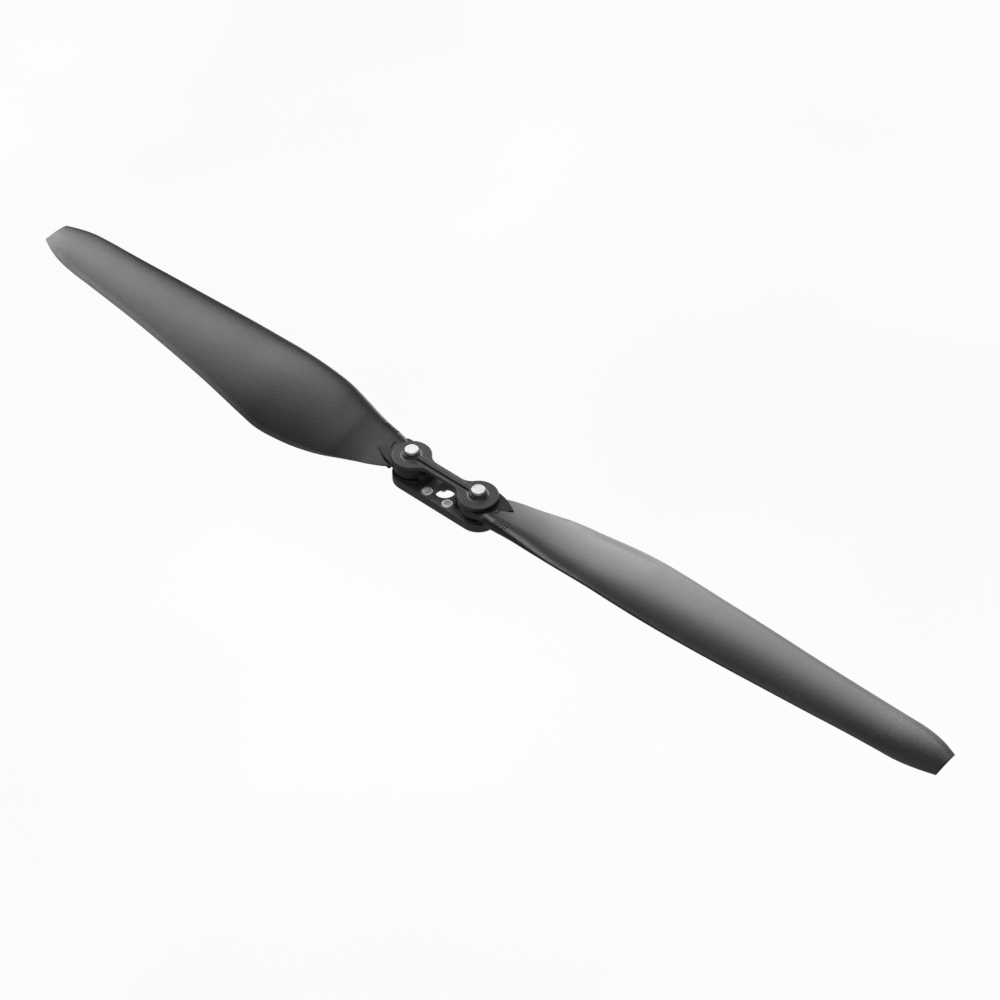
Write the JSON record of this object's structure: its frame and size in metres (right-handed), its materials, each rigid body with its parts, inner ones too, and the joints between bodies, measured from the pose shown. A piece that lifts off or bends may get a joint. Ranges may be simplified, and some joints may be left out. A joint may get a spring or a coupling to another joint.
{
  "type": "two-blade folding propeller",
  "caption": "Folding propeller for a large multirotor: twisted fibre-filled blades pivot on shoulder pins between a stadium-shaped base plate and a ribbed dog-bone bridge plate.",
  "frame": {"origin": "on the rotation axis at half the overall height, 9.34 mm above the base plate's underside", "axes": "+Z along the rotation axis, the thrust direction; +X out along blade_a, blades open; +Y completes a right-handed frame"},
  "size_m": [0.5334, 0.055, 0.0254],
  "materials": {
    "plate_black": "fine matte black, slightly softened edges",
    "blade_black": "fibre-filled black plastic, satin with a fine grain",
    "polished_steel": "polished steel pin heads",
    "screw_steel": "plain stainless steel",
    "nut_steel": "plain steel",
    "bushing_bronze": "plain bearing bronze",
    "slip_plastic": "dark low-friction plastic"
  },
  "bodies": {
    "hub": {"base_plate": "plate_black", "bridge_plate": "plate_black", "pivot_pin_a": "polished_steel", "pivot_pin_b": "polished_steel", "head_washer_a": "slip_plastic", "head_washer_b": "slip_plastic", "upper_thrust_washer_a": "slip_plastic", "upper_thrust_washer_b": "slip_plastic", "lower_thrust_washer_a": "slip_plastic", "lower_thrust_washer_b": "slip_plastic", "pin_nut_a": "nut_steel", "pin_nut_b": "nut_steel", "mount_screw_1": "screw_steel", "mount_screw_2": "screw_steel", "mount_screw_3": "screw_steel", "mount_screw_4": "screw_steel"},
    "blade_arm_a": {"blade_a": "blade_black", "eye_bushing_a": "bushing_bronze"},
    "blade_arm_b": {"blade_b": "blade_black", "eye_bushing_b": "bushing_bronze"}
  },
  "joints": [
    {"name": "fold_a", "type": "hinge", "parent": "hub", "child": "blade_arm_a", "pos_m": [0.0204, 0, -0.00034], "axis": [0, 0, 1], "range_deg": [-90, 90]},
    {"name": "fold_b", "type": "hinge", "parent": "hub", "child": "blade_arm_b", "pos_m": [-0.0204, 0, -0.00034], "axis": [0, 0, 1], "range_deg": [-90, 90]}
  ]
}
